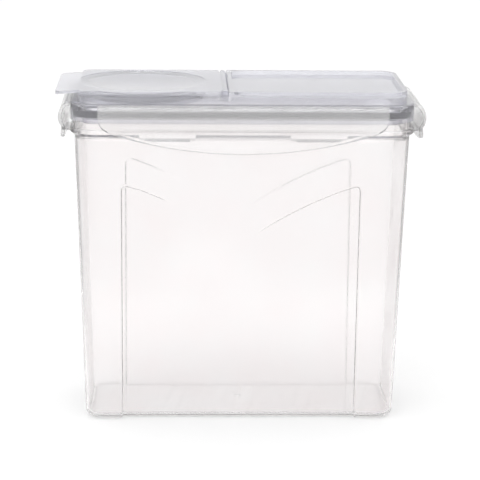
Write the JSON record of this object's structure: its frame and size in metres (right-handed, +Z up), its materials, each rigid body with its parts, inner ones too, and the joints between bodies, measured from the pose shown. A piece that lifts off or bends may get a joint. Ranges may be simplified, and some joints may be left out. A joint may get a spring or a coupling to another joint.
{
  "type": "cereal container with flip spout",
  "caption": "Clear snap-lock dry food container with a gasketed lid, hinged wings and a flip-up pouring cap over a round opening.",
  "frame": {"origin": "middle of the flat base, on the surface that the container stands on", "axes": "+X along the container away from the spout, +Y towards the back, +Z up"},
  "size_m": [0.2514, 0.1148, 0.2353],
  "materials": {
    "clear_tub": "clear moulded polypropylene with a slight haze",
    "clear_lid": "clear moulded polypropylene, thicker and a little greyer",
    "frosted_wing": "satin translucent polypropylene",
    "grey_silicone": "dark grey moulded silicone"
  },
  "bodies": {
    "tub": {"tub": "clear_tub"},
    "lid": {"lid": "clear_lid", "lid_gasket": "grey_silicone"},
    "front_wing": {"front_wing": "frosted_wing"},
    "back_wing": {"back_wing": "frosted_wing"},
    "left_wing": {"left_wing": "frosted_wing"},
    "right_wing": {"right_wing": "frosted_wing"},
    "flip_cap": {"flip_cap": "clear_lid", "cap_seal": "grey_silicone"}
  },
  "joints": [
    {"name": "lid_lift", "type": "slide", "parent": "tub", "child": "lid", "axis": [0, 0, 1], "range_m": [0, 0.06]},
    {"name": "front_wing_hinge", "type": "hinge", "parent": "lid", "child": "front_wing", "pos_m": [0, -0.0495, 0.22515], "axis": [-1, 0, 0], "range_deg": [0, 105]},
    {"name": "back_wing_hinge", "type": "hinge", "parent": "lid", "child": "back_wing", "pos_m": [0, 0.0495, 0.22515], "axis": [1, 0, 0], "range_deg": [0, 105]},
    {"name": "left_wing_hinge", "type": "hinge", "parent": "lid", "child": "left_wing", "pos_m": [-0.1169, 0, 0.22515], "axis": [0, 1, 0], "range_deg": [0, 75]},
    {"name": "right_wing_hinge", "type": "hinge", "parent": "lid", "child": "right_wing", "pos_m": [0.1169, 0, 0.22515], "axis": [0, -1, 0], "range_deg": [0, 105]},
    {"name": "cap_hinge", "type": "hinge", "parent": "lid", "child": "flip_cap", "pos_m": [-0.012, 0, 0.23295], "axis": [0, 1, 0], "range_deg": [0, 100]}
  ]
}
